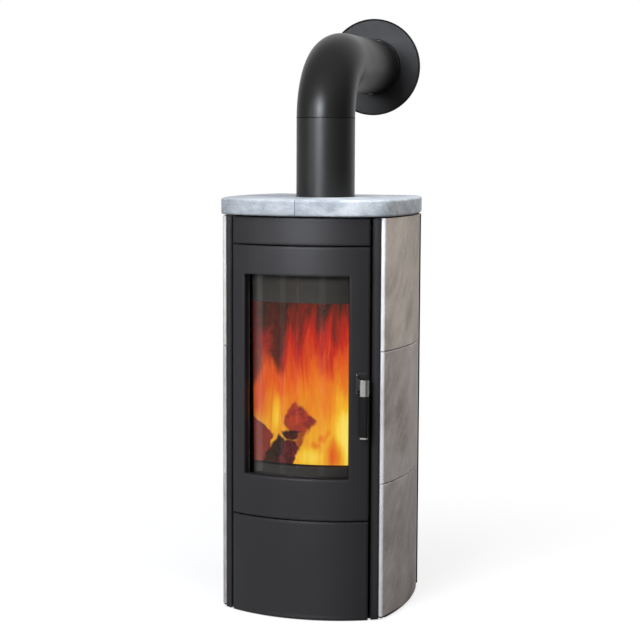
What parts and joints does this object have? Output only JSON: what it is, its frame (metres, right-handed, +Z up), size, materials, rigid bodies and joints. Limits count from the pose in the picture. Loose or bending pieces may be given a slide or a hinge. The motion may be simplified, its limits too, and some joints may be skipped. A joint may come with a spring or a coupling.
{
  "type": "stone-clad wood-burning stove",
  "caption": "Freestanding wood stove with curved steel front, glass fire door, stacked soapstone sides, split stone top slab and a flue bend that leaves through the wall.",
  "frame": {"origin": "on the floor straight below the axis of the upright flue", "axes": "+X to the viewer's right, +Y to the wall behind the stove, +Z up"},
  "size_m": [0.479, 0.783, 1.526],
  "materials": {
    "front_steel": "matte",
    "carcass_steel": "matte",
    "flue_steel": "satin",
    "stainless": "brushed",
    "soapstone": "honed",
    "slab_stone": "honed",
    "lining": "matte",
    "cast_iron": "rough",
    "glass": "clear",
    "fibre": "woven",
    "rubber": "matte",
    "grip": "matte",
    "magnet": "satin",
    "pan_steel": "matte"
  },
  "bodies": {
    "stove": {"base_plate": "carcass_steel", "levelling_screws": "stainless", "support_legs": "carcass_steel", "left_side_panel": "carcass_steel", "right_side_panel": "carcass_steel", "left_front_pillar": "front_steel", "right_front_pillar": "front_steel", "left_rear_post": "front_steel", "right_rear_post": "front_steel", "rear_panel": "front_steel", "rear_panel_screws": "stainless", "top_plate": "carcass_steel", "slab_pads": "rubber", "left_slab": "slab_stone", "right_slab": "slab_stone", "top_cover_panel": "front_steel", "left_lower_tile": "soapstone", "left_middle_tile": "soapstone", "left_upper_tile": "soapstone", "right_lower_tile": "soapstone", "right_middle_tile": "soapstone", "right_upper_tile": "soapstone", "tile_rails": "carcass_steel", "tile_joint_strips": "fibre", "tile_dowels": "stainless", "firebox_shell": "carcass_steel", "air_box": "carcass_steel", "front_frame": "carcass_steel", "floor_brick": "lining", "left_side_brick": "lining", "right_side_brick": "lining", "back_bricks": "lining", "baffle_plate": "lining", "log_guard": "cast_iron", "grate_ring": "cast_iron", "flue_collar": "carcass_steel", "flue_pipe": "flue_steel", "flue_elbow": "flue_steel", "wall_rosette": "flue_steel", "air_duct": "carcass_steel", "upper_door_hinge": "stainless", "middle_door_hinge": "stainless", "lower_door_hinge": "stainless", "under_rails": "carcass_steel", "magnet_catch": "magnet"},
    "fire_door": {"door_frame": "front_steel", "door_glass": "glass", "glass_seal": "fibre", "glass_clips": "stainless", "door_rope_seal": "fibre", "handle_base": "stainless"},
    "handle": {"handle_block": "stainless", "handle_grip": "grip", "grip_end_cap": "stainless"},
    "lower_door": {"lower_door_panel": "front_steel"},
    "ash_drawer": {"ash_pan": "pan_steel"},
    "air_control": {"air_slide": "stainless"},
    "shaker_grate": {"grate": "cast_iron", "grate_lever": "carcass_steel"}
  },
  "joints": [
    {"name": "fire_door_hinge", "type": "hinge", "parent": "stove", "child": "fire_door", "pos_m": [-0.16345, -0.20571, 0.6], "axis": [0, 0, -1], "range_deg": [0, 110]},
    {"name": "handle_pivot", "type": "hinge", "parent": "fire_door", "child": "handle", "pos_m": [0.151, -0.23102, 0.59], "axis": [0, 0, -1], "range_deg": [0, 12]},
    {"name": "lower_door_hinge_turn", "type": "hinge", "parent": "stove", "child": "lower_door", "pos_m": [-0.16345, -0.20571, 0.12], "axis": [0, 0, -1], "range_deg": [0, 110]},
    {"name": "ash_pan_slide", "type": "slide", "parent": "stove", "child": "ash_drawer", "axis": [0, -1, 0], "range_m": [0, 0.1]},
    {"name": "air_slide_shift", "type": "slide", "parent": "stove", "child": "air_control", "axis": [1, 0, 0], "range_m": [0, 0.01]},
    {"name": "grate_turn", "type": "hinge", "parent": "stove", "child": "shaker_grate", "pos_m": [0, -0.035, 0.3], "axis": [0, 0, 1], "range_deg": [-12, 12]}
  ]
}
